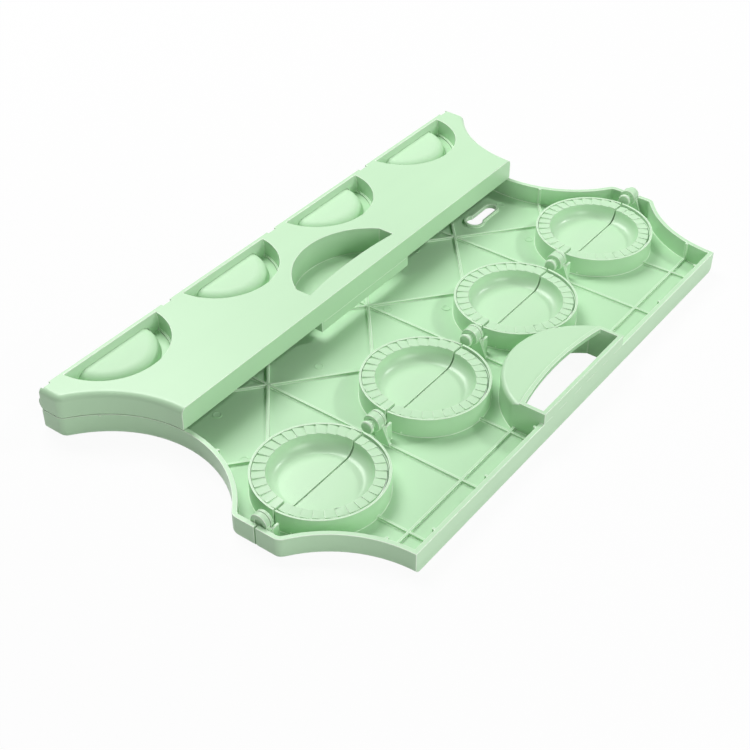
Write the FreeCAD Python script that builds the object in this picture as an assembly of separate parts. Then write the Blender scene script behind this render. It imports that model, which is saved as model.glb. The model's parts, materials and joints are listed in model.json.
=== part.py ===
import FreeCAD, Part
import math
import os
from FreeCAD import Vector

# Dumpling press for two rows of four: a base tray with a hinged flap along each long side.
# The front flap lies open in front of the base and the rear flap is closed on it.
# X runs along the hinges, the hinge axes lie at y = -axis_y and y = +axis_y, z = 0 is the table.

# Leaves: base tray and flaps
leaf_height = 14.0
axis_y = 74.0
end_margin = 4.8
waist_depth = 31.8
waist_radius = 71.0
shoulder_radius = 6.0
plate = 1.4
wall = 2.7
end_round = 3.6
split_gap = 0.5
rim_gap = 0.2
meeting_gap = 1.0

# Rows of moulds
mould_count = 4
rim_radius = 36.4
cup_spacing = 19.8
cup_wall = 1.3
spine_width = 2.3
spine_slope = 1.8
seat_width = 1.2
seat_height = 0.8
seat_play = 0.2

# Half bowls with pleated rims
rim_width = 8.6
bowl_flare = 1.2
bowl_floor_z = 4.9
bowl_fillet = 6.4
bowl_skin = 1.0
mouth_round = 0.7
pleat_count = 17
pleat_height = 0.9
flap_pleat_height = 0.6
pleat_inner_share = 0.4
rim_skin = 0.8
base_rim_play = 0.35
flap_rim_play = 1.3
flap_rim_drop = 0.8

# Hinges
knuckle_radius = 5.2
end_knuckle_radius = 4.2
knuckle_length = 1.7
ring_length = 4.7
ring_lead = 3.2
neck_length = 2.3
pin_radius = 2.6
pin_head_radius = 3.9
pin_head_length = 2.1
pin_head_chamfer = 0.5
pin_recess = 0.5
hinge_play = 0.05
hinge_gap = 0.4
arm_width = 1.8
arm_reach = 11.0
tab_thickness = 1.4
tab_length = 4.7
tab_drop = 1.2
notch_depth = 1.6
notch_margin = 1.0

# Finger grip of a flap, measured from the flap's front edge
grip_half_length = 39.9
grip_side_depth = 20.0
grip_arc_depth = 43.0
grip_front_depth = 10.0
grip_front_arc_depth = 12.9
grip_slot_depth = 13.7
grip_slot_arc_depth = 18.0
grip_wall = 2.4
grip_roof = 2.0
grip_rise = 5.6
grip_round = 2.6
lip_height = 0.9

# Ribs of the floors
rib_width = 1.5
rib_height = 1.5
long_rib_depth = 18.0

# Hanging keyhole in the base's floor
keyhole_x = 115.5
keyhole_length = 19.0
keyhole_radius = 5.2
keyhole_neck_radius = 3.8
collar_wall = 1.5
collar_height = 1.6

# Cuts run past the faces that they leave through by this much
overrun = 5.0

# Worked out from the sizes above
mould_pitch = rim_radius + rim_radius + cup_spacing
half_length = mould_count * mould_pitch / 2 + end_margin
waist_half_length = half_length - waist_depth
bowl_mouth_radius = rim_radius - rim_width
bowl_floor_radius = bowl_mouth_radius - bowl_flare
flap_width = axis_y - meeting_gap
front_edge_y = -axis_y - flap_width
rim_z = leaf_height - rim_gap
cup_radius = rim_radius - cup_wall
rim_thickness = pleat_height + rim_skin
mould_xs = [(i - (mould_count - 1) / 2) * mould_pitch for i in range(mould_count)]
station_xs = [(i - mould_count / 2) * mould_pitch for i in range(mould_count + 1)]
base_crest_z = rim_z
flap_crest_z = rim_z - flap_rim_drop

x_axis = Vector(1, 0, 0)
y_axis = Vector(0, 1, 0)
z_axis = Vector(0, 0, 1)
origin = Vector(0, 0, 0)


def box(x0, x1, y0, y1, z0, z1):
    """Box between two opposite corners."""
    return Part.makeBox(x1 - x0, y1 - y0, z1 - z0, Vector(x0, y0, z0))


def rod(radius, x0, x1, y, z):
    """Cylinder along X."""
    return Part.makeCylinder(radius, x1 - x0, Vector(x0, y, z), x_axis)


def disc(radius, x, y, z0, z1):
    """Upright cylinder."""
    return Part.makeCylinder(radius, z1 - z0, Vector(x, y, z0), z_axis)


def arc(start, middle, end):
    """Arc edge through three points."""
    return Part.Arc(start, middle, end).toShape()


def upright(wire, z0, z1):
    """Solid from a flat outline drawn at z = 0."""
    face = Part.Face(wire)
    face.translate(Vector(0, 0, z0))
    return face.extrude(Vector(0, 0, z1 - z0))


def rounded_outline(corners):
    """Closed outline through (point, radius) corners, with each corner rounded by its radius."""
    spans = []
    for i, (point, radius) in enumerate(corners):
        if radius == 0:
            spans.append((point, None, point))
            continue
        back = (corners[i - 1][0] - point).normalize()
        ahead = (corners[(i + 1) % len(corners)][0] - point).normalize()
        half_angle = back.getAngle(ahead) / 2
        inward = (back + ahead).normalize()
        reach = radius / math.tan(half_angle)
        middle = point + inward * (radius / math.sin(half_angle) - radius)
        spans.append((point + back * reach, middle, point + ahead * reach))
    edges = []
    for i, (start, middle, end) in enumerate(spans):
        if middle is not None:
            edges.append(arc(start, middle, end))
        edges.append(Part.makeLine(end, spans[(i + 1) % len(spans)][0]))
    return Part.Wire(edges)


def leaf_end(side, inset, edge_y):
    """Edges of one waisted end of the base, from y = -edge_y to y = +edge_y, drawn in by inset."""
    end_x = half_length - inset
    waist_centre = Vector(waist_half_length + waist_radius, 0, 0)
    shoulder_x = half_length - shoulder_radius
    reach = waist_radius + shoulder_radius
    shoulder_y = math.sqrt(reach ** 2 - (waist_centre.x - shoulder_x) ** 2)
    shoulder = Vector(shoulder_x, shoulder_y, 0)
    towards_waist = (waist_centre - shoulder).normalize()
    towards_corner = (x_axis + towards_waist).normalize()
    radius = shoulder_radius - inset
    flat = Vector(end_x, shoulder_y, 0)
    corner = shoulder + towards_corner * radius
    blend = shoulder + towards_waist * radius
    waist = Vector(waist_half_length - inset, 0, 0)
    tip = Vector(end_x, edge_y, 0)

    def place(point, mirrored):
        return Vector(side * point.x, -point.y if mirrored else point.y, 0)

    return [
        Part.makeLine(place(tip, True), place(flat, True)),
        arc(place(flat, True), place(corner, True), place(blend, True)),
        arc(place(blend, True), place(waist, False), place(blend, False)),
        arc(place(blend, False), place(corner, False), place(flat, False)),
        Part.makeLine(place(flat, False), place(tip, False)),
    ]


def leaf_outline(inset, edge_y):
    """Closed outline of the base seen from above."""
    end_x = half_length - inset
    edges = leaf_end(1, inset, edge_y) + leaf_end(-1, inset, edge_y)
    for y in (-edge_y, edge_y):
        edges.append(Part.makeLine(Vector(-end_x, y, 0), Vector(end_x, y, 0)))
    return Part.Wire(Part.__sortEdges__(edges))


def leaf_body():
    """Full block of the base with rounded outer edges at its ends."""
    block = upright(leaf_outline(0, axis_y - split_gap), 0, rim_z)
    end_edges = []
    for edge in block.Edges:
        bounds = edge.BoundBox
        if bounds.ZMax < plate / 2 and bounds.YLength > rim_gap:
            end_edges.append(edge)
    return block.makeFillet(end_round, end_edges)


def leaf_room(lift):
    """Space over the floor and between the end walls, drawn in on every side by lift."""
    return upright(leaf_outline(wall + lift, axis_y + overrun), plate + lift, rim_z + overrun)


def bowl_radius(z, crest_z, offset):
    """Radius of the bowl's sloping side at height z, moved outwards by offset."""
    slope = bowl_flare / (crest_z - bowl_floor_z)
    return bowl_floor_radius + slope * (z - bowl_floor_z) + offset * math.sqrt(1 + slope ** 2)


def half_mould(rim_play, crest_z, fold):
    """Half bowl with a rim of pleats as deep as fold, on the +Y side of the mould's axis."""
    outer = cup_radius - rim_play
    seat_z = crest_z - rim_thickness
    under_z = bowl_floor_z - bowl_skin
    profile = rounded_outline([
        (Vector(0, 0, bowl_floor_z), 0),
        (Vector(bowl_floor_radius, 0, bowl_floor_z), bowl_fillet),
        (Vector(bowl_mouth_radius, 0, crest_z), mouth_round),
        (Vector(outer, 0, crest_z), 0),
        (Vector(outer, 0, seat_z), 0),
        (Vector(bowl_radius(seat_z, crest_z, bowl_skin), 0, seat_z), 0),
        (Vector(bowl_radius(under_z, crest_z, bowl_skin), 0, under_z), bowl_fillet + bowl_skin),
        (Vector(0, 0, under_z), 0),
    ])
    bowl = Part.Face(profile).revolve(origin, z_axis, 180)
    drop = fold * rim_width / (outer - bowl_mouth_radius)
    bowl = bowl.cut([pleat_cut(i, crest_z, drop) for i in range(pleat_count)])
    return bowl.cut(box(-rim_radius, rim_radius, -overrun, split_gap, 0, leaf_height))


def pleat_cut(index, crest_z, drop):
    """Chip off the rim that leaves one sloping pleat, deepest at the rim's outer edge."""
    first = math.pi * index / pleat_count
    second = math.pi * (index + 1) / pleat_count

    def at(radius, angle, z):
        return Vector(radius * math.cos(angle), radius * math.sin(angle), z)

    plan = [(bowl_mouth_radius, first), (rim_radius, first)]
    plan += [(rim_radius, second), (bowl_mouth_radius, second)]
    depths = [drop * pleat_inner_share, drop, 0, 0]
    low = [at(radius, angle, crest_z - depth) for (radius, angle), depth in zip(plan, depths)]
    high = [at(radius, angle, crest_z + overrun) for radius, angle in plan]
    sides = [[low[0], low[1], low[2]], [low[0], low[2], low[3]], high]
    for i in range(len(plan)):
        sides.append([low[i - 1], low[i], high[i], high[i - 1]])
    faces = [Part.Face(Part.makePolygon(side + side[:1])) for side in sides]
    return Part.Solid(Part.Shell(faces))


def cup_block():
    """Half cup before it is hollowed, on the +Y side of the mould's axis."""
    block = disc(rim_radius, 0, 0, 0, rim_z)
    return block.common(box(-rim_radius, rim_radius, split_gap, rim_radius, 0, rim_z))


def cup_hollow(crest_z):
    """Everything that is taken out of a half cup: outer pocket, seat, rim recess and bowl room."""
    seat_z = crest_z - rim_thickness
    under_z = bowl_floor_z - bowl_skin - seat_play
    spine = split_gap + spine_width
    sides = [(spine, -overrun), (spine, 0), (spine + spine_slope, under_z), (spine + spine_slope, seat_z),
             (rim_radius, seat_z), (rim_radius, -overrun)]
    points = [Vector(-rim_radius, y, z) for y, z in sides]
    behind_spine = Part.Face(Part.makePolygon(points + points[:1]))
    behind_spine = behind_spine.extrude(Vector(rim_radius + rim_radius, 0, 0))
    pocket = disc(cup_radius, 0, 0, -overrun, seat_z - seat_height).common(behind_spine)
    seat_hole = disc(cup_radius - seat_width, 0, 0, 0, seat_z).common(behind_spine)
    recess = disc(cup_radius, 0, 0, seat_z, rim_z + overrun)
    recess = recess.common(box(-rim_radius, rim_radius, 0, rim_radius, 0, rim_z + overrun))
    room_offset = bowl_skin + seat_play
    room = rounded_outline([
        (Vector(0, 0, under_z), 0),
        (Vector(bowl_radius(under_z, crest_z, room_offset), 0, under_z), bowl_fillet + room_offset),
        (Vector(bowl_radius(seat_z, crest_z, room_offset), 0, seat_z), 0),
        (Vector(0, 0, seat_z), 0),
    ])
    bowl_room = Part.Face(room).revolve(origin, z_axis, 180)
    return pocket.fuse([seat_hole, recess, bowl_room])


def set_front(shape, x):
    """Copy of a +Y half set on the base's front row."""
    return shape.translated(Vector(x, -axis_y, 0))


def set_rear(shape, x):
    """Mirror image of a +Y half set on the base's rear row."""
    return shape.mirror(origin, y_axis).translated(Vector(x, axis_y, 0))


def set_open(shape, x):
    """Mirror image of a +Y half set on the open front flap."""
    return shape.mirror(origin, y_axis).translated(Vector(x, -axis_y, 0))


def close_over(shape):
    """Rear, closed counterpart of a shape that belongs to the open front flap."""
    folded = shape.mirror(Vector(0, 0, leaf_height), z_axis)
    return folded.translated(Vector(0, axis_y + axis_y, 0))


def mirror_rear(shape):
    """Rear counterpart of a shape that belongs to the base's front side."""
    return shape.mirror(origin, y_axis)


def rib(x0, y0, x1, y1):
    """Thin upright strip along a floor line, as tall as the leaf."""
    run = Vector(x1 - x0, y1 - y0, 0)
    strip = box(0, run.Length, -rib_width / 2, rib_width / 2, 0, rim_z)
    strip.rotate(origin, z_axis, math.degrees(math.atan2(run.y, run.x)))
    return strip.translated(Vector(x0, y0, 0))


def trimmed_ribs(strips, room, inner_room, keep_out):
    """Strips cut down to low ribs on the floor that climb the walls."""
    ribs = strips[0].fuse(strips[1:]).common(room).cut(inner_room)
    return ribs.cut(keep_out)


def base_ribs(cups):
    """Cross ribs between the moulds and the diagonal lattice of the base."""
    strips = []
    for x in station_xs[1:-1]:
        strips.append(rib(x, -axis_y + split_gap, x, axis_y - split_gap))
    for x in station_xs:
        for mould_x in mould_xs:
            if abs(mould_x - x) > mould_pitch / 2 + rib_width:
                continue
            for side in (-1, 1):
                strips.append(rib(x, 0, mould_x, side * (axis_y - rim_radius + cup_wall)))
    return trimmed_ribs(strips, leaf_room(0), leaf_room(rib_height), cups)


def hinge_arm(x0, x1, side):
    """Sloping foot that carries a knuckle of the front hinge, on the side given by its sign."""
    foot_z = plate / 2
    near_y = -axis_y + side * split_gap
    corners = [(near_y, foot_z), (near_y, rim_z), (-axis_y + side * knuckle_radius, rim_z),
               (-axis_y + side * arm_reach, foot_z)]
    points = [Vector(x0, y, z) for y, z in corners]
    return Part.Face(Part.makePolygon(points + points[:1])).extrude(Vector(x1 - x0, 0, 0))


def hinge_layout(index):
    """Stretches along X of one front hinge: pin head, flap ring and base knuckle."""
    ring_start = station_xs[index] - ring_lead
    ring_end = ring_start + ring_length
    if index == 0:
        ring_start = -half_length + wall + hinge_gap
    knuckle_start = ring_end + hinge_gap
    knuckle_end = knuckle_start + knuckle_length
    if index == mould_count:
        knuckle_end = half_length
    head_end = ring_start - neck_length
    return (head_end - pin_head_length, head_end), (ring_start, ring_end), (knuckle_start, knuckle_end)


def end_radius(index):
    """Radius of the base's knuckle at one front hinge, smaller in the far end wall."""
    return end_knuckle_radius if index == mould_count else knuckle_radius


def base_knuckle(index):
    """Knuckle of the base at one front hinge, with its foot."""
    start, end = hinge_layout(index)[2]
    body = rod(end_radius(index), start, end, -axis_y, leaf_height)
    return body.fuse(hinge_arm(start, end, 1))


def pin_bore(index, radius):
    """Bore along one front hinge, through the flap's ring and the base's knuckle."""
    ring, knuckle = hinge_layout(index)[1:]
    return rod(radius, ring[0] - hinge_gap, knuckle[1] + overrun, -axis_y, leaf_height)


def hinge_pin(index):
    """Pin held in the base's knuckle; its head keeps the flap's ring in place."""
    head, ring, knuckle = hinge_layout(index)
    if index == 0:
        return rod(pin_radius, ring[0] + pin_recess, knuckle[1], -axis_y, leaf_height)
    pin = rod(pin_radius, head[1], knuckle[1], -axis_y, leaf_height)
    cap = rod(pin_head_radius, head[0], head[1], -axis_y, leaf_height)
    rims = [edge for edge in cap.Edges if edge.BoundBox.XLength < pin_head_chamfer]
    return pin.fuse(cap.makeChamfer(pin_head_chamfer, rims)).removeSplitter()


def base_tray():
    """Middle leaf: ribbed floor, end walls, eight half cups, knuckles and the keyhole."""
    cups = [set_front(cup_block(), x) for x in mould_xs] + [set_rear(cup_block(), x) for x in mould_xs]
    tray = leaf_body().cut(leaf_room(0))
    knuckles = [base_knuckle(i) for i in range(mould_count + 1)]
    knuckles += [mirror_rear(knuckle) for knuckle in knuckles]
    collar = keyhole(collar_wall, plate / 2, plate + collar_height)
    tray = tray.fuse(cups + [base_ribs(cups), collar] + knuckles)
    hollow = cup_hollow(base_crest_z)
    hollows = [set_front(hollow, x) for x in mould_xs] + [set_rear(hollow, x) for x in mould_xs]
    bores = [pin_bore(i, pin_radius) for i in range(mould_count + 1)]
    bores += [mirror_rear(bore) for bore in bores]
    tray = tray.cut(hollows + bores + [keyhole(0, -overrun, plate + collar_height + overrun)])
    return tray.removeSplitter()


def keyhole(extra, z0, z1):
    """Upright prism of the keyhole, a round hole with a narrower neck, widened by extra."""
    neck_x = keyhole_x + keyhole_length
    neck_radius = keyhole_neck_radius + extra
    neck = box(keyhole_x, neck_x, -neck_radius, neck_radius, z0, z1)
    ends = [disc(keyhole_radius + extra, keyhole_x, 0, z0, z1), disc(neck_radius, neck_x, 0, z0, z1)]
    return neck.fuse(ends).removeSplitter()


def grip_outline(extra, front, front_arc):
    """Grip outline widened by extra: straight ends, a deep arc behind and a shallow arc in front."""
    half = grip_half_length + extra
    side_y = front_edge_y + grip_side_depth
    left = Vector(-half, side_y, 0)
    right = Vector(half, side_y, 0)
    left_front = Vector(-half, front_edge_y + front, 0)
    right_front = Vector(half, front_edge_y + front, 0)
    apex = Vector(0, front_edge_y + grip_arc_depth + extra, 0)
    edges = [Part.makeLine(left_front, left), arc(left, apex, right), Part.makeLine(right, right_front)]
    if front_arc == front:
        edges.append(Part.makeLine(right_front, left_front))
    else:
        edges.append(arc(right_front, Vector(0, front_edge_y + front_arc, 0), left_front))
    return Part.Wire(edges)


def slot_outline(extra, front):
    """Inner opening of the grip, from front in to a shallow arc, widened by extra at its other sides."""
    half = grip_half_length + extra
    front_y = front_edge_y + front
    left = Vector(-half, front_edge_y + grip_slot_depth + extra, 0)
    right = Vector(half, front_edge_y + grip_slot_depth + extra, 0)
    apex = Vector(0, front_edge_y + grip_slot_arc_depth + extra, 0)
    left_front = Vector(-half, front_y, 0)
    right_front = Vector(half, front_y, 0)
    return Part.Wire([arc(left, apex, right), Part.makeLine(right, right_front),
                      Part.makeLine(right_front, left_front), Part.makeLine(left_front, left)])


def grip_block():
    """Closed block of the grip on the inside of the flap, with the lip round its slot."""
    roof_z = leaf_height + grip_rise
    block = upright(grip_outline(grip_wall, 0, 0), plate / 2, roof_z)
    top_arc = []
    for edge in block.Edges:
        bounds = edge.BoundBox
        if bounds.ZMin > roof_z - plate / 2 and bounds.YLength > wall and bounds.XLength > wall:
            top_arc.append(edge)
    block = block.makeFillet(grip_round, top_arc)
    lip = upright(slot_outline(grip_wall, 0), plate, roof_z + lip_height)
    return block.fuse(lip)


def grip_hollow():
    """Finger room of the grip: opening in the plate, hollow of the block and slot to the inside."""
    roof_z = leaf_height + grip_rise
    opening = upright(grip_outline(0, grip_front_depth, grip_front_arc_depth), -overrun, plate + overrun)
    hollow = upright(grip_outline(0, wall, wall), plate, roof_z - grip_roof)
    slot = upright(slot_outline(0, wall), roof_z - grip_roof, roof_z + lip_height + overrun)
    return opening.fuse([hollow, slot])


def flap_ribs(cups, block):
    """Long rib behind the front wall and the cross ribs of a flap."""
    strips = []
    long_y = front_edge_y + long_rib_depth
    strips.append(rib(-half_length, long_y, half_length, long_y))
    for x in mould_xs:
        strips.append(rib(x, front_edge_y, x, -axis_y - rim_radius + cup_wall))
    for x in station_xs[1:-1]:
        strips.append(rib(x, front_edge_y, x, -axis_y - split_gap))
    return trimmed_ribs(strips, flap_room(0), flap_room(rib_height), cups + [block])


def flap_room(lift):
    """Space over the open front flap's floor and inside its walls, drawn in by lift."""
    room = leaf_room(lift).translated(Vector(0, -axis_y - axis_y, 0))
    span = box(-half_length, half_length, front_edge_y + wall + lift, -axis_y + overrun,
               plate, rim_z + overrun)
    return room.common(span)


def flap_hinges():
    """Rings of the front flap with their feet and guard tabs."""
    pieces = []
    tab_y = -axis_y - knuckle_radius - hinge_gap
    for i in range(mould_count + 1):
        ring = hinge_layout(i)[1]
        arm_start = station_xs[i] - arm_width / 2
        arm_end = arm_start + arm_width
        pieces.append(rod(knuckle_radius, ring[0], ring[1], -axis_y, leaf_height))
        pieces.append(hinge_arm(arm_start, arm_end, -1))
        if i < mould_count:
            pieces.append(box(arm_end, arm_end + tab_length, tab_y - tab_thickness, tab_y,
                              plate / 2, rim_z - tab_drop))
    return pieces


def hinge_cuts():
    """Bores, plate notches and the room for the end knuckle in the front flap."""
    cuts = []
    for i in range(mould_count + 1):
        ring = hinge_layout(i)[1]
        cuts.append(pin_bore(i, pin_radius + hinge_play))
        cuts.append(box(ring[0] - notch_margin, ring[1] + notch_margin,
                        -axis_y - split_gap - notch_depth, -axis_y, -overrun, plate))
    knuckle = hinge_layout(mould_count)[2]
    cuts.append(rod(end_radius(mould_count) + hinge_gap, knuckle[0] - hinge_gap, knuckle[1] + overrun,
                    -axis_y, leaf_height))
    return cuts


def front_flap():
    """Open flap: ribbed plate, front and end walls, four half cups, hinge rings and the finger grip."""
    span = box(-half_length, half_length, front_edge_y, -axis_y - split_gap, 0, rim_z)
    flap = leaf_body().translated(Vector(0, -axis_y - axis_y, 0)).common(span)
    flap = flap.cut(flap_room(0))
    cups = [set_open(cup_block(), x) for x in mould_xs]
    block = grip_block()
    flap = flap.fuse(cups + [block, flap_ribs(cups, block)] + flap_hinges())
    hollow = cup_hollow(flap_crest_z)
    hollows = [set_open(hollow, x) for x in mould_xs]
    flap = flap.cut(hollows + hinge_cuts() + [grip_hollow()])
    return flap.removeSplitter()


def export(shape, node):
    """Write one sub-part to its own file."""
    shape.exportStep("parts/" + node + ".step")


def main():
    os.makedirs("parts", exist_ok=True)
    export(base_tray(), "base_tray")
    flap = front_flap()
    export(flap, "front_flap")
    export(close_over(flap), "rear_flap")
    base_half = half_mould(base_rim_play, base_crest_z, pleat_height)
    flap_half = half_mould(flap_rim_play, flap_crest_z, flap_pleat_height)
    for i, x in enumerate(mould_xs):
        number = str(i + 1)
        export(set_front(base_half, x), "base_mould_front_" + number)
        export(set_rear(base_half, x), "base_mould_rear_" + number)
        open_half = set_open(flap_half, x)
        export(open_half, "flap_mould_front_" + number)
        export(close_over(open_half), "flap_mould_rear_" + number)
    for i in range(mould_count + 1):
        number = str(i + 1)
        pin = hinge_pin(i)
        export(pin, "hinge_pin_front_" + number)
        export(mirror_rear(pin), "hinge_pin_rear_" + number)


main()
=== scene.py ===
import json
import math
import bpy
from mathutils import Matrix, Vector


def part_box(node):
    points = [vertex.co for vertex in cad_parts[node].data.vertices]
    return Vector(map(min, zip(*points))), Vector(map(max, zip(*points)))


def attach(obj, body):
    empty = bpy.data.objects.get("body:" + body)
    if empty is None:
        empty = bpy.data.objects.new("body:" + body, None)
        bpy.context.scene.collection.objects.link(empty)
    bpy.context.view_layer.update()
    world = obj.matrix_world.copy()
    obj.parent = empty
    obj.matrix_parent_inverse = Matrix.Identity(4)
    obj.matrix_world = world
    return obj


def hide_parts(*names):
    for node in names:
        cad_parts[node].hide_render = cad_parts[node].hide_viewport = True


bl_info = {
    "name": "Dumpling Press",
    "version": (1, 0, 0),
    "blender": (4, 5, 0),
    "location": "View3D > Sidebar > Dumpling Press",
    "description": "Dresses the packed dumpling press in satin mint plastic and sets it in a white studio",
    "category": "Object",
}

import bpy
from bpy.props import FloatProperty, FloatVectorProperty, PointerProperty
from mathutils import Matrix, Vector

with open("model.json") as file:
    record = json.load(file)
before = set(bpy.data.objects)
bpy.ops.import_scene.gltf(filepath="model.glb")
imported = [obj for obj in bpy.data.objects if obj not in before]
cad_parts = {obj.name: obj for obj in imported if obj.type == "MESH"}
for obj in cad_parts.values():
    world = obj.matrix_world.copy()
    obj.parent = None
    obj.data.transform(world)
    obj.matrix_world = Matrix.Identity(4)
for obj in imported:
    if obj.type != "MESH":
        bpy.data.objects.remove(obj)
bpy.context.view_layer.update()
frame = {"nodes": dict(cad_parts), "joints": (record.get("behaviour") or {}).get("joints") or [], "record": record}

BODY_OF = {node: body for body, nodes in frame["record"]["behaviour"]["bodies"].items() for node in nodes}
HINGE_OF = {joint["child"]: joint["pos_m"] for joint in frame["record"]["behaviour"]["joints"]}
MERGE_DISTANCE = 1e-6
FLAT_ANGLE = math.radians(0.4)
EDGE_ANGLE = math.radians(32)
SMOOTH_ANGLE = math.radians(38)
EDGE_SEGMENTS = 2
STRAY_SHARE = 0.6
CUP_OVER_RIM = 0.00165
ROW_LENGTH = 4

# Lamps of the studio: name, setting of its power, size and place
LAMPS = (("right_lamp", "key_power", 0.12, (0.80, -0.60, 0.85)),
         ("front_fill", "fill_power", 0.6, (-0.35, -1.05, 0.45)),
         ("rear_soft_box", "box_power", 0.8, (0.25, 0.75, 1.2)))
FLOOR_RADIUS = 4
FLOOR_SIDES = 96
FLOOR_FADE = (0.3, 1.0)
SENSOR_WIDTH = 36

# Noise scales, shares and bump of the moulded plastic
CLOUD_SCALE = 16
CLOUD_SHARE = 0.65
FLOW_STRETCH = (7, 60, 60)
GRAIN_SCALE = 1900
CLOUD_ROUGHNESS = 0.05
GRAIN_ROUGHNESS = 0.10
EDGE_POLISH = 0.04
SPECK_CELLS = 55
SPECK_SHARE = 0.9
SPECK_REACH = 0.014
SPECK_DARKNESS = 0.55
BUMP_STRENGTH = 0.12
BUMP_DEPTH = 0.00006
PLASTIC_IOR = 1.49

# Parts of an ejector mark, a nub and a flash bead, as shares of their own size
MARK_RIM_SHARE = 0.22
MARK_SLOPE_SHARE = 0.08
MARK_SINK_SHARE = 0.9
MARK_ROUND_SHARE = 0.35
NUB_FLATNESS = 0.8
NUB_FOOT_SHARE = 0.3
BEAD_ROUND_SHARE = 0.8
MARK_SIDES = 40

# Material slots of a piece: paler rounded edges as a painted highlight, deeper floors and dark seats as painted
# shade, and duller bowl outsides; and how the faces of a floor, a seat or a bowl's outside are told
EDGE_PAINTED_HIGHLIGHT, FLOOR_PAINTED_SHADE, SEAT_PAINTED_SHADE, BACK_FINISH = 1, 2, 3, 2
RIM_THICKNESS = 0.0017
LEVEL_NORMAL = 0.99
LEVEL_REACH = 0.00005
OUTWARD = 0.3

# Ejector marks on the tray's floor, in metres along and across the hinges
EJECTOR_MARKS = ((-0.128, 0.006), (0.005, -0.011), (0.1435, -0.002), (-0.1195, -0.0375), (-0.0265, -0.0385),
                 (0.0267, -0.0383), (0.1193, -0.0391), (-0.1466, -0.0292), (0.066, 0.012), (-0.062, -0.012))

# Gate nubs on the front cups: turn round the cup from +X, and height over the table
GATE_NUBS = ((math.radians(-165.4), 0.0027), (math.radians(-154.8), 0.0021))

# Gate nub on the tray's near end wall, just under its top
END_NUB = (-0.1753, 0.0453, 0.0131)

# Broken stretches of the flash line on the open flap's grip, along the hinges
FLASH_STRETCHES = ((-0.0405, -0.034), (-0.027, -0.0195), (-0.011, -0.0035), (0.002, 0.0125), (0.0195, 0.025),
                   (0.032, 0.0405))


class PressSizes(bpy.types.PropertyGroup):
    """Sizes of the softened edges and of the marks that the mould left."""
    leaf_edge: FloatProperty(
        name="Leaf edge", description="Width of the rounded edges of the tray and flaps",
        default=0.00034, unit="LENGTH")
    bowl_edge: FloatProperty(
        name="Bowl edge", description="Width of the rounded edges of the half bowls",
        default=0.00012, unit="LENGTH")
    pin_edge: FloatProperty(
        name="Pin edge", description="Width of the rounded edges of the hinge pins",
        default=0.00030, unit="LENGTH")
    floor_height: FloatProperty(
        name="Floor height", description="Height of the tray's inner floor over the table",
        default=0.0014, unit="LENGTH")
    ejector_radius: FloatProperty(
        name="Ejector mark", description="Radius of the round marks that the ejector rods left",
        default=0.0027, unit="LENGTH")
    ejector_rise: FloatProperty(
        name="Ejector rise", description="How far an ejector mark's edge stands up from the floor",
        default=0.00022, unit="LENGTH")
    nub_radius: FloatProperty(
        name="Nub", description="Radius of the small gate nubs on the cups",
        default=0.00055, unit="LENGTH")
    flash_width: FloatProperty(
        name="Flash width", description="Width of the flash line across the grips",
        default=0.00036, unit="LENGTH")
    flash_rise: FloatProperty(
        name="Flash rise", description="How far the flash line stands out",
        default=0.00012, unit="LENGTH")


class PressColours(bpy.types.PropertyGroup):
    """Colours and roughness of the plastic."""
    leaf: FloatVectorProperty(
        name="Leaf", description="Mint plastic of the tray and flaps",
        default=(0.548, 0.807, 0.533), subtype="COLOR", min=0, max=1)
    bowl: FloatVectorProperty(
        name="Half bowl", description="Mint plastic of the half bowls",
        default=(0.556, 0.812, 0.541), subtype="COLOR", min=0, max=1)
    pin: FloatVectorProperty(
        name="Pin", description="Mint plastic of the hinge pins",
        default=(0.548, 0.807, 0.533), subtype="COLOR", min=0, max=1)
    # The deeper floor colour is painted shade on the inner floors; only the higher floor roughness is the floors'
    # own finish.
    floor: FloatVectorProperty(
        name="Floor", description="Deeper mint of the textured inner floors",
        default=(0.502, 0.772, 0.492), subtype="COLOR", min=0, max=1)
    # The dark seat colour is painted shade at the bottom of the gap round the flaps' half bowls.
    seat: FloatVectorProperty(
        name="Seat", description="Dull mint at the bottom of the gap round the flaps' half bowls",
        default=(0.20, 0.37, 0.21), subtype="COLOR", min=0, max=1)
    leaf_roughness: FloatProperty(
        name="Leaf roughness", description="Least roughness of the tray and flaps",
        default=0.29, subtype="FACTOR", min=0, max=1)
    bowl_roughness: FloatProperty(
        name="Bowl roughness", description="Least roughness of the half bowls",
        default=0.22, subtype="FACTOR", min=0, max=1)
    floor_roughness: FloatProperty(
        name="Floor roughness", description="Least roughness of the textured inner floors",
        default=0.36, subtype="FACTOR", min=0, max=1)
    seat_roughness: FloatProperty(
        name="Seat roughness", description="Least roughness under the gap round the flaps' half bowls",
        default=0.5, subtype="FACTOR", min=0, max=1)
    back_roughness: FloatProperty(
        name="Back roughness", description="Least roughness of the half bowls' outsides",
        default=0.48, subtype="FACTOR", min=0, max=1)
    pin_roughness: FloatProperty(
        name="Pin roughness", description="Least roughness of the hinge pins",
        default=0.27, subtype="FACTOR", min=0, max=1)
    shade_share: FloatProperty(
        name="Shade", description="How dark the cloudy parts of the plastic are beside its colour",
        default=0.96, subtype="FACTOR", min=0, max=1)
    # The paler edge colour is a painted highlight along the rounded edges.
    edge: FloatVectorProperty(
        name="Edge", description="Paler plastic along the rounded edges",
        default=(0.80, 0.96, 0.77), subtype="COLOR", min=0, max=1)
    speck: FloatVectorProperty(
        name="Speck", description="Rare dark specks in the plastic",
        default=(0.16, 0.30, 0.17), subtype="COLOR", min=0, max=1)


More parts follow.
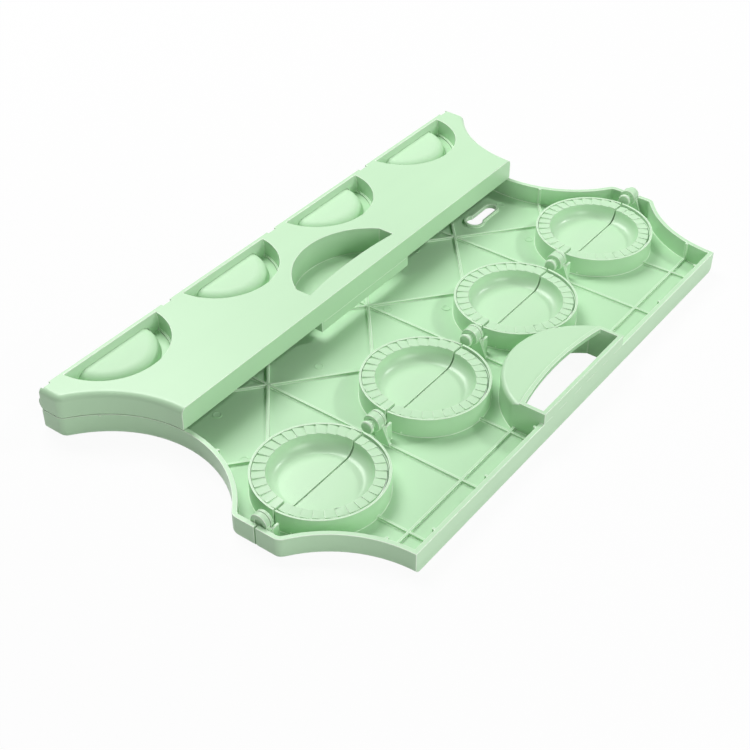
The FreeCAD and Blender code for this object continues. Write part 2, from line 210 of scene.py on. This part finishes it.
class PressStudio(bpy.types.PropertyGroup):
    """Lamps, floor and camera."""
    key_power: FloatProperty(
        name="Key", description="Power of the small lamp on the right", default=4.2, unit="POWER")
    fill_power: FloatProperty(
        name="Fill", description="Power of the low soft lamp in front", default=4.5, unit="POWER")
    box_power: FloatProperty(
        name="Soft box", description="Power of the wide soft box behind", default=17.0, unit="POWER")
    room_light: FloatProperty(
        name="Room", description="Strength of the even light from all round", default=0.12, min=0)
    floor: FloatVectorProperty(
        name="Floor", description="Colour of the pale floor",
        default=(0.80, 0.80, 0.80), subtype="COLOR", min=0, max=1)
    floor_glow: FloatProperty(
        name="Floor glow", description="Share of pure white in the floor that the camera sees",
        default=0.94, subtype="FACTOR", min=0, max=1)
    lens: FloatProperty(
        name="Lens", description="Focal length in millimetres on a 36 mm sensor", default=65.915)
    yaw: FloatProperty(
        name="Yaw", description="Heading of the camera from +X",
        default=math.radians(36.603), subtype="ANGLE")
    pitch: FloatProperty(
        name="Pitch", description="How far the camera looks down",
        default=math.radians(39.005), subtype="ANGLE")
    roll: FloatProperty(
        name="Roll", description="Tilt of the camera", default=math.radians(-0.035), subtype="ANGLE")
    eye: FloatVectorProperty(
        name="Eye", description="Place of the camera", default=(-0.529706, -0.39872, 0.485852),
        subtype="TRANSLATION", unit="LENGTH")


class Level:
    """A number that varies over a surface, taken from a node's socket, for use in plain sums."""

    def __init__(self, tree, socket):
        self.tree = tree
        self.socket = socket

    def sum_with(self, operation, first, second):
        node = self.tree.nodes.new("ShaderNodeMath")
        node.operation = operation
        for socket, value in zip(node.inputs, (first, second)):
            if isinstance(value, Level):
                self.tree.links.new(value.socket, socket)
            else:
                socket.default_value = value
        return Level(self.tree, node.outputs[0])

    def __add__(self, other):
        return self.sum_with("ADD", self, other)

    def __radd__(self, other):
        return self.sum_with("ADD", other, self)

    def __mul__(self, other):
        return self.sum_with("MULTIPLY", self, other)

    def __rmul__(self, other):
        return self.sum_with("MULTIPLY", other, self)

    def __gt__(self, other):
        return self.sum_with("GREATER_THAN", self, other)

    def __lt__(self, other):
        return self.sum_with("LESS_THAN", self, other)


class Finish:
    """A node tree that is being wired up."""

    def __init__(self, holder):
        holder.use_nodes = True
        self.tree = holder.node_tree
        self.tree.nodes.clear()

    def node(self, kind, settings, sockets, output=0):
        """Adds a node, sets it up, fills its sockets with values or links and gives one of its outputs."""
        node = self.tree.nodes.new(kind)
        for name, value in settings.items():
            setattr(node, name, value)
        for name, value in sockets.items():
            if isinstance(value, Level):
                self.tree.links.new(value.socket, node.inputs[name])
            else:
                node.inputs[name].default_value = value
        return Level(self.tree, node.outputs[output]) if node.outputs else None

    def noise(self, place, scale, detail, roughness):
        """Soft noise over a place."""
        return self.node("ShaderNodeTexNoise", {}, {
            "Vector": place, "Scale": scale, "Detail": detail, "Roughness": roughness})

    def mix(self, factor, first, second):
        """Mix of two colours."""
        return self.node("ShaderNodeMix", {"data_type": "RGBA"},
                         {0: factor, 6: opaque(first), 7: opaque(second)}, 2)


def opaque(colour):
    """Colour with full alpha; a link passes through."""
    return colour if isinstance(colour, Level) else (*colour, 1)


def shade(colour, share):
    """Colour scaled by a share."""
    return tuple(channel * share for channel in colour)


def mint_plastic(name, colour, roughness):
    """Satin moulded plastic: faint clouds and flow lines, a fine grain and rare specks."""
    tints = bpy.context.scene.press_colours
    material = bpy.data.materials.new(name)
    finish = Finish(material)
    place = finish.node("ShaderNodeTexCoord", {}, {}, "Object")
    along = finish.node("ShaderNodeMapping", {}, {"Vector": place, "Scale": FLOW_STRETCH})
    clouds = finish.noise(place, CLOUD_SCALE, 3, 0.5)
    flow = finish.noise(along, 1, 2, 0.6)
    grain = finish.noise(place, GRAIN_SCALE, 2, 0.6)
    cells = {"Vector": place, "Scale": SPECK_CELLS, "Randomness": 1}
    near = finish.node("ShaderNodeTexVoronoi", {}, cells, "Distance")
    lot = finish.node("ShaderNodeTexVoronoi", {}, cells, "Color")
    rare = finish.node("ShaderNodeSeparateColor", {}, {"Color": lot}) > SPECK_SHARE
    speck = (near < SPECK_REACH) * rare
    cloudy = clouds * CLOUD_SHARE + flow * (1 - CLOUD_SHARE)
    tint = finish.mix(cloudy, shade(colour, tints.shade_share), shade(colour, 2 - tints.shade_share))
    tint = finish.mix(speck * SPECK_DARKNESS, tint, tints.speck)
    rough = roughness + clouds * CLOUD_ROUGHNESS + grain * GRAIN_ROUGHNESS
    height = grain * 0.5 + flow * 0.5
    normal = finish.node("ShaderNodeBump", {}, {
        "Height": height, "Strength": BUMP_STRENGTH, "Distance": BUMP_DEPTH})
    plastic = finish.node("ShaderNodeBsdfPrincipled", {}, {
        "Base Color": tint, "Roughness": rough, "Normal": normal, "IOR": PLASTIC_IOR})
    finish.node("ShaderNodeOutputMaterial", {}, {"Surface": plastic})
    return material


def pick(piece):
    """Makes one object the only selected and active one."""
    bpy.ops.object.select_all(action="DESELECT")
    piece.select_set(True)
    bpy.context.view_layer.objects.active = piece


def body_and_edge(colour_name):
    """Materials of a piece and of its rounded edges, which carry a painted highlight in a paler colour."""
    tints = bpy.context.scene.press_colours
    colour = getattr(tints, colour_name)
    roughness = getattr(tints, colour_name + "_roughness")
    return [mint_plastic("mint_" + colour_name, tuple(colour), roughness),
            mint_plastic("mint_" + colour_name + "_edge", tuple(tints.edge), roughness - EDGE_POLISH)]


def soften(node, piece_name, width, materials):
    """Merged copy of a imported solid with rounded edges, which stands for the solid."""
    piece = bpy.data.objects.new(piece_name, frame["nodes"][node].data.copy())
    bpy.context.scene.collection.objects.link(piece)
    piece.data.materials.clear()
    for material in materials:
        piece.data.materials.append(material)
    pick(piece)
    bpy.ops.mesh.customdata_custom_splitnormals_clear()
    bpy.ops.object.mode_set(mode="EDIT")
    bpy.ops.mesh.select_all(action="SELECT")
    bpy.ops.mesh.remove_doubles(threshold=MERGE_DISTANCE)
    bpy.ops.mesh.dissolve_limited(angle_limit=FLAT_ANGLE)
    bpy.ops.object.mode_set(mode="OBJECT")
    edges = piece.modifiers.new("soft_edges", "BEVEL")
    edges.width = width
    edges.segments = EDGE_SEGMENTS
    edges.limit_method = "ANGLE"
    edges.angle_limit = EDGE_ANGLE
    edges.use_clamp_overlap = False
    # The rounded edge faces get the paler material, a painted highlight.
    edges.material = EDGE_PAINTED_HIGHLIGHT
    bpy.ops.object.modifier_apply(modifier=edges.name)
    lay_on(piece, frame["nodes"][node], width * STRAY_SHARE)
    bpy.ops.object.shade_smooth_by_angle(angle=SMOOTH_ANGLE)
    even = piece.modifiers.new("even_shading", "WEIGHTED_NORMAL")
    even.keep_sharp = True
    bpy.ops.object.modifier_apply(modifier=even.name)
    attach(piece, BODY_OF[node])
    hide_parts(node)
    return piece


def lay_on(piece, solid, reach):
    """Brings corners that the rounding threw further than reach back to the solid's surface."""
    for corner in piece.data.vertices:
        found, place, normal, face = solid.closest_point_on_mesh(corner.co)
        if found and (corner.co - place).length > reach:
            corner.co = place


def dress_level(piece, height, index):
    """Gives the level faces of a piece at a height another of its materials."""
    for face in piece.data.polygons:
        level = abs(face.normal.z) > LEVEL_NORMAL and abs(face.center.z - height) < LEVEL_REACH
        if level and face.material_index == 0:
            face.material_index = index


def dress_outside(piece, middle, index):
    """Gives the faces of a half bowl that look away from its middle another of its materials."""
    for face in piece.data.polygons:
        outward = (face.center - middle).normalized().dot(face.normal)
        if outward > OUTWARD and face.material_index == 0:
            face.material_index = index


def copies(pattern, name, places):
    """One object made of copies of a pattern, each with its own mesh, set at these matrices."""
    made = []
    for place in places:
        copy = bpy.data.objects.new(name, pattern.data.copy())
        bpy.context.scene.collection.objects.link(copy)
        copy.data.transform(place)
        made.append(copy)
    pick(made[0])
    for copy in made:
        copy.select_set(True)
    if len(made) > 1:
        bpy.ops.object.join()
    made[0].name = name
    bpy.ops.object.shade_smooth_by_angle(angle=SMOOTH_ANGLE)
    return made[0]


def discard(pattern):
    """Removes a pattern once its copies are made."""
    mesh = pattern.data
    bpy.data.objects.remove(pattern)
    bpy.data.meshes.remove(mesh)


def select_faces(mesh, wanted):
    """Selects the faces that a test picks, from object mode, and goes to edit mode."""
    for face in mesh.polygons:
        face.select = wanted(face)
    for edge in mesh.edges:
        edge.select = False
    for corner in mesh.vertices:
        corner.select = False
    for face in mesh.polygons:
        if face.select:
            for index in face.vertices:
                mesh.vertices[index].select = True
    bpy.ops.object.mode_set(mode="EDIT")
    bpy.ops.mesh.select_mode(type="FACE")


def rounded(piece, width):
    """Rounds the edges of a small piece."""
    pick(piece)
    edges = piece.modifiers.new("round", "BEVEL")
    edges.width = width
    edges.segments = EDGE_SEGMENTS
    edges.limit_method = "ANGLE"
    edges.angle_limit = EDGE_ANGLE
    bpy.ops.object.modifier_apply(modifier=edges.name)


def nodes_named(*starts):
    """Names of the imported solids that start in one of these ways."""
    return sorted(node for node in frame["nodes"] if node.startswith(starts))


class PRESS_OT_leaves(bpy.types.Operator):
    """Softens the edges of the tray and of both flaps"""
    bl_idname = "press.leaves"
    bl_label = "Tray and Flaps"

    def execute(self, context):
        sizes, tints = context.scene.press_sizes, context.scene.press_colours
        materials = body_and_edge("leaf")
        materials.append(mint_plastic("mint_floor", tuple(tints.floor), tints.floor_roughness))
        materials.append(mint_plastic("mint_seat", tuple(tints.seat), tints.seat_roughness))
        shut_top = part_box("rear_flap")[1][2]
        open_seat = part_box("flap_mould_front_1")[1][2] - RIM_THICKNESS
        shut_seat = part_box("flap_mould_rear_1")[0][2] + RIM_THICKNESS
        levels = {"base_tray": (sizes.floor_height, None),
                  "front_flap": (sizes.floor_height, open_seat),
                  "rear_flap": (shut_top - sizes.floor_height, shut_seat)}
        for node, (floor, seat) in levels.items():
            piece = soften(node, node + "_shell", sizes.leaf_edge, materials)
            # The inner floors get a deeper colour, painted shade.
            dress_level(piece, floor, FLOOR_PAINTED_SHADE)
            if seat:
                # The seat under the gap gets a dark colour, painted shade.
                dress_level(piece, seat, SEAT_PAINTED_SHADE)
        return {"FINISHED"}


class PRESS_OT_half_bowls(bpy.types.Operator):
    """Softens the edges of the half bowls with pleated rims"""
    bl_idname = "press.half_bowls"
    bl_label = "Half Bowls"

    def execute(self, context):
        sizes, tints = context.scene.press_sizes, context.scene.press_colours
        materials = body_and_edge("bowl")
        materials.append(mint_plastic("mint_bowl_back", tuple(tints.bowl), tints.back_roughness))
        for node in nodes_named("base_mould", "flap_mould"):
            piece = soften(node, node.replace("mould", "bowl"), sizes.bowl_edge, materials)
            low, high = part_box(node)
            hinge = HINGE_OF["front_flap" if "front" in node else "rear_flap"]
            dress_outside(piece, Vector(((low[0] + high[0]) / 2, hinge[1], hinge[2])), BACK_FINISH)
        return {"FINISHED"}


class PRESS_OT_hinge_pins(bpy.types.Operator):
    """Softens the edges of the hinge pins"""
    bl_idname = "press.hinge_pins"
    bl_label = "Hinge Pins"

    def execute(self, context):
        materials = body_and_edge("pin")
        for node in nodes_named("hinge_pin"):
            soften(node, node.replace("hinge_pin", "pin"), context.scene.press_sizes.pin_edge, materials)
        return {"FINISHED"}


class PRESS_OT_moulding_marks(bpy.types.Operator):
    """Adds the marks of moulding: ejector marks, gate nubs and flash lines"""
    bl_idname = "press.moulding_marks"
    bl_label = "Moulding Marks"

    def ejector_marks(self, sizes, material):
        rise, radius = sizes.ejector_rise, sizes.ejector_radius
        bpy.ops.object.select_all(action="DESELECT")
        bpy.ops.mesh.primitive_cylinder_add(vertices=MARK_SIDES, radius=radius, depth=rise * 2)
        mark = bpy.context.active_object
        select_faces(mark.data, lambda face: face.normal.z > 0.5)
        bpy.ops.mesh.inset(thickness=radius * MARK_RIM_SHARE, depth=0)
        bpy.ops.mesh.inset(thickness=radius * MARK_SLOPE_SHARE, depth=-rise * MARK_SINK_SHARE)
        bpy.ops.object.mode_set(mode="OBJECT")
        rounded(mark, rise * MARK_ROUND_SHARE)
        mark.data.materials.append(material)
        places = [Matrix.Translation((x, y, sizes.floor_height)) for x, y in EJECTOR_MARKS]
        marks = copies(mark, "ejector_marks", places)
        discard(mark)
        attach(marks, "base")

    def gate_nubs(self, sizes, material):
        radius = sizes.nub_radius
        bpy.ops.object.select_all(action="DESELECT")
        bpy.ops.mesh.primitive_uv_sphere_add(segments=16, ring_count=8, radius=radius)
        nub = bpy.context.active_object
        bpy.ops.object.mode_set(mode="EDIT")
        bpy.ops.mesh.select_all(action="SELECT")
        bpy.ops.transform.resize(value=(NUB_FLATNESS, 1, 1))
        foot = (-radius * NUB_FOOT_SHARE, 0, 0)
        bpy.ops.mesh.bisect(plane_co=foot, plane_no=(-1, 0, 0), clear_outer=True, use_fill=True)
        bpy.ops.object.mode_set(mode="OBJECT")
        nub.data.materials.append(material)
        found, spot, outward, face = bpy.data.objects["base_tray_shell"].closest_point_on_mesh(END_NUB)
        if not found:
            raise RuntimeError("the tray's end wall was not found")
        turned = Vector((1, 0, 0)).rotation_difference(outward).to_matrix().to_4x4()
        end_nub = copies(nub, "end_gate_nub", [Matrix.Translation(spot) @ turned])
        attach(end_nub, "base")
        places = []
        reach = cup_reach()
        for number in range(1, ROW_LENGTH + 1):
            low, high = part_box("flap_mould_front_%d" % number)
            split_y = (high[1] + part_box("base_mould_front_%d" % number)[0][1]) / 2
            for turn, height in GATE_NUBS[:1 + number % 2]:
                axis = Matrix.Translation(((low[0] + high[0]) / 2, split_y, height))
                places.append(axis @ Matrix.Rotation(turn, 4, "Z") @ Matrix.Translation((reach, 0, 0)))
        nubs = copies(nub, "gate_nubs", places)
        discard(nub)
        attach(nubs, "front_flap")

    def flash_line(self, name, body, sizes, stretches, face_y, height, material):
        beads = []
        for start, end in stretches:
            bpy.ops.object.select_all(action="DESELECT")
            bpy.ops.mesh.primitive_cube_add(size=1)
            bead = bpy.context.active_object
            bpy.ops.object.mode_set(mode="EDIT")
            bpy.ops.mesh.select_all(action="SELECT")
            bpy.ops.transform.resize(value=(end - start, sizes.flash_rise * 2, sizes.flash_width))
            bpy.ops.object.mode_set(mode="OBJECT")
            rounded(bead, sizes.flash_rise * BEAD_ROUND_SHARE)
            bead.data.materials.append(material)
            bead.data.transform(Matrix.Translation(((start + end) / 2, face_y, height)))
            beads.append(bead)
        line = copies(beads[0], name, [Matrix.Identity(4)])
        for bead in beads[1:]:
            bead.select_set(True)
        if len(beads) > 1:
            bpy.ops.object.join()
        discard(beads[0])
        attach(line, body)

    def execute(self, context):
        sizes = context.scene.press_sizes
        # The gate nubs and flash lines take the paler edge colour, a painted highlight.
        material = bpy.data.materials["mint_leaf_edge"]
        # The ejector marks take the floors' deeper colour, painted shade.
        self.ejector_marks(sizes, bpy.data.materials["mint_floor"])
        self.gate_nubs(sizes, material)
        hinge_height = frame["joints"][0]["pos_m"][2]
        whole = ((FLASH_STRETCHES[0][0], FLASH_STRETCHES[-1][1]),)
        for name, body, stretches in (("open_flash_line", "front_flap", FLASH_STRETCHES),
                                      ("shut_flash_line", "rear_flap", whole)):
            front_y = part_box(body)[0][1]
            self.flash_line(name, body, sizes, stretches, front_y, hinge_height, material)
        return {"FINISHED"}


def cup_reach():
    """Outer radius of a cup, from the half bowl's rim and the play round it."""
    low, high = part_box("base_mould_front_1")
    return (high[0] - low[0]) / 2 + CUP_OVER_RIM


class PRESS_OT_studio(bpy.types.Operator):
    """Adds the white floor, the soft lamps and the camera"""
    bl_idname = "press.studio"
    bl_label = "Studio"

    def seen_directly(self, finish):
        """1 for rays from the camera, mirrors and glass, else 0."""
        seen = finish.node("ShaderNodeLightPath", {}, {}, "Is Camera Ray")
        seen = seen + finish.node("ShaderNodeLightPath", {}, {}, "Is Glossy Ray")
        seen = seen + finish.node("ShaderNodeLightPath", {}, {}, "Is Transmission Ray")
        return seen > 0.5

    def floor(self, studio):
        bpy.ops.object.select_all(action="DESELECT")
        bpy.ops.mesh.primitive_circle_add(vertices=FLOOR_SIDES, radius=FLOOR_RADIUS, fill_type="NGON")
        floor = bpy.context.active_object
        floor.name = "studio_floor"
        bpy.ops.object.transform_apply()
        material = bpy.data.materials.new("studio_white")
        finish = Finish(material)
        matte = finish.node("ShaderNodeBsdfDiffuse", {}, {"Color": opaque(studio.floor)})
        glow = finish.node("ShaderNodeEmission", {}, {"Color": (1, 1, 1, 1), "Strength": 1})
        place = finish.node("ShaderNodeTexCoord", {}, {}, "Object")
        away = finish.node("ShaderNodeVectorMath", {"operation": "LENGTH"}, {0: place}, "Value")
        share = finish.node("ShaderNodeMapRange", {}, {
            "Value": away, "From Min": FLOOR_FADE[0], "From Max": FLOOR_FADE[1],
            "To Min": studio.floor_glow, "To Max": 1})
        seen = self.seen_directly(finish) * share
        mixed = finish.node("ShaderNodeMixShader", {}, {0: seen, 1: matte, 2: glow})
        finish.node("ShaderNodeOutputMaterial", {}, {"Surface": mixed})
        floor.data.materials.append(material)

    def room(self, studio):
        world = bpy.data.worlds.new("studio_room")
        bpy.context.scene.world = world
        finish = Finish(world)
        even = finish.node("ShaderNodeBackground", {}, {"Color": (1, 1, 1, 1), "Strength": studio.room_light})
        white = finish.node("ShaderNodeBackground", {}, {"Color": (1, 1, 1, 1), "Strength": 1})
        mixed = finish.node("ShaderNodeMixShader", {}, {0: self.seen_directly(finish), 1: even, 2: white})
        finish.node("ShaderNodeOutputWorld", {}, {"Surface": mixed})

    def lamp(self, name, power, size, place):
        bpy.ops.object.light_add(type="AREA", location=place)
        lamp = bpy.context.active_object
        lamp.name = name
        lamp.data.shape = "SQUARE"
        lamp.data.size = size
        lamp.data.energy = power
        lamp.rotation_euler = Vector(place).to_track_quat("Z", "Y").to_euler()

    def camera(self, studio):
        ahead = Vector((math.cos(studio.yaw) * math.cos(studio.pitch),
                        math.sin(studio.yaw) * math.cos(studio.pitch), -math.sin(studio.pitch)))
        level = Vector((math.sin(studio.yaw), -math.cos(studio.yaw), 0))
        above = level.cross(ahead)
        right = math.cos(studio.roll) * level + math.sin(studio.roll) * above
        up = math.cos(studio.roll) * above - math.sin(studio.roll) * level
        bpy.ops.object.camera_add()
        camera = bpy.context.active_object
        camera.name = "studio_camera"
        camera.data.sensor_width = SENSOR_WIDTH
        camera.data.lens = studio.lens
        turned = Matrix((right, up, -ahead)).transposed().to_4x4()
        camera.matrix_world = Matrix.Translation(studio.eye) @ turned
        bpy.context.scene.camera = camera

    def execute(self, context):
        studio = context.scene.press_studio
        self.floor(studio)
        self.room(studio)
        for name, power, size, place in LAMPS:
            self.lamp(name, getattr(studio, power), size, place)
        self.camera(studio)
        context.scene.view_settings.view_transform = "Standard"
        return {"FINISHED"}


class PRESS_PT_sidebar(bpy.types.Panel):
    """Buttons for the press and its studio"""
    bl_idname = "PRESS_PT_sidebar"
    bl_label = "Dumpling Press"
    bl_space_type = "VIEW_3D"
    bl_region_type = "UI"
    bl_category = "Dumpling Press"

    def draw(self, context):
        for operator in OPERATORS:
            self.layout.operator(operator.bl_idname)
        for group in (context.scene.press_sizes, context.scene.press_colours, context.scene.press_studio):
            for name in group.__annotations__:
                self.layout.prop(group, name)


OPERATORS = (PRESS_OT_leaves, PRESS_OT_half_bowls, PRESS_OT_hinge_pins, PRESS_OT_moulding_marks,
             PRESS_OT_studio)
CLASSES = (PressSizes, PressColours, PressStudio, *OPERATORS, PRESS_PT_sidebar)


def register():
    for cls in CLASSES:
        bpy.utils.register_class(cls)
    bpy.types.Scene.press_sizes = PointerProperty(type=PressSizes)
    bpy.types.Scene.press_colours = PointerProperty(type=PressColours)
    bpy.types.Scene.press_studio = PointerProperty(type=PressStudio)


def unregister():
    del bpy.types.Scene.press_studio
    del bpy.types.Scene.press_colours
    del bpy.types.Scene.press_sizes
    for cls in reversed(CLASSES):
        bpy.utils.unregister_class(cls)


def main():
    register()
    bpy.ops.press.leaves()
    bpy.ops.press.half_bowls()
    bpy.ops.press.hinge_pins()
    bpy.ops.press.moulding_marks()
    bpy.ops.press.studio()


if __name__ == "__main__":
    main()
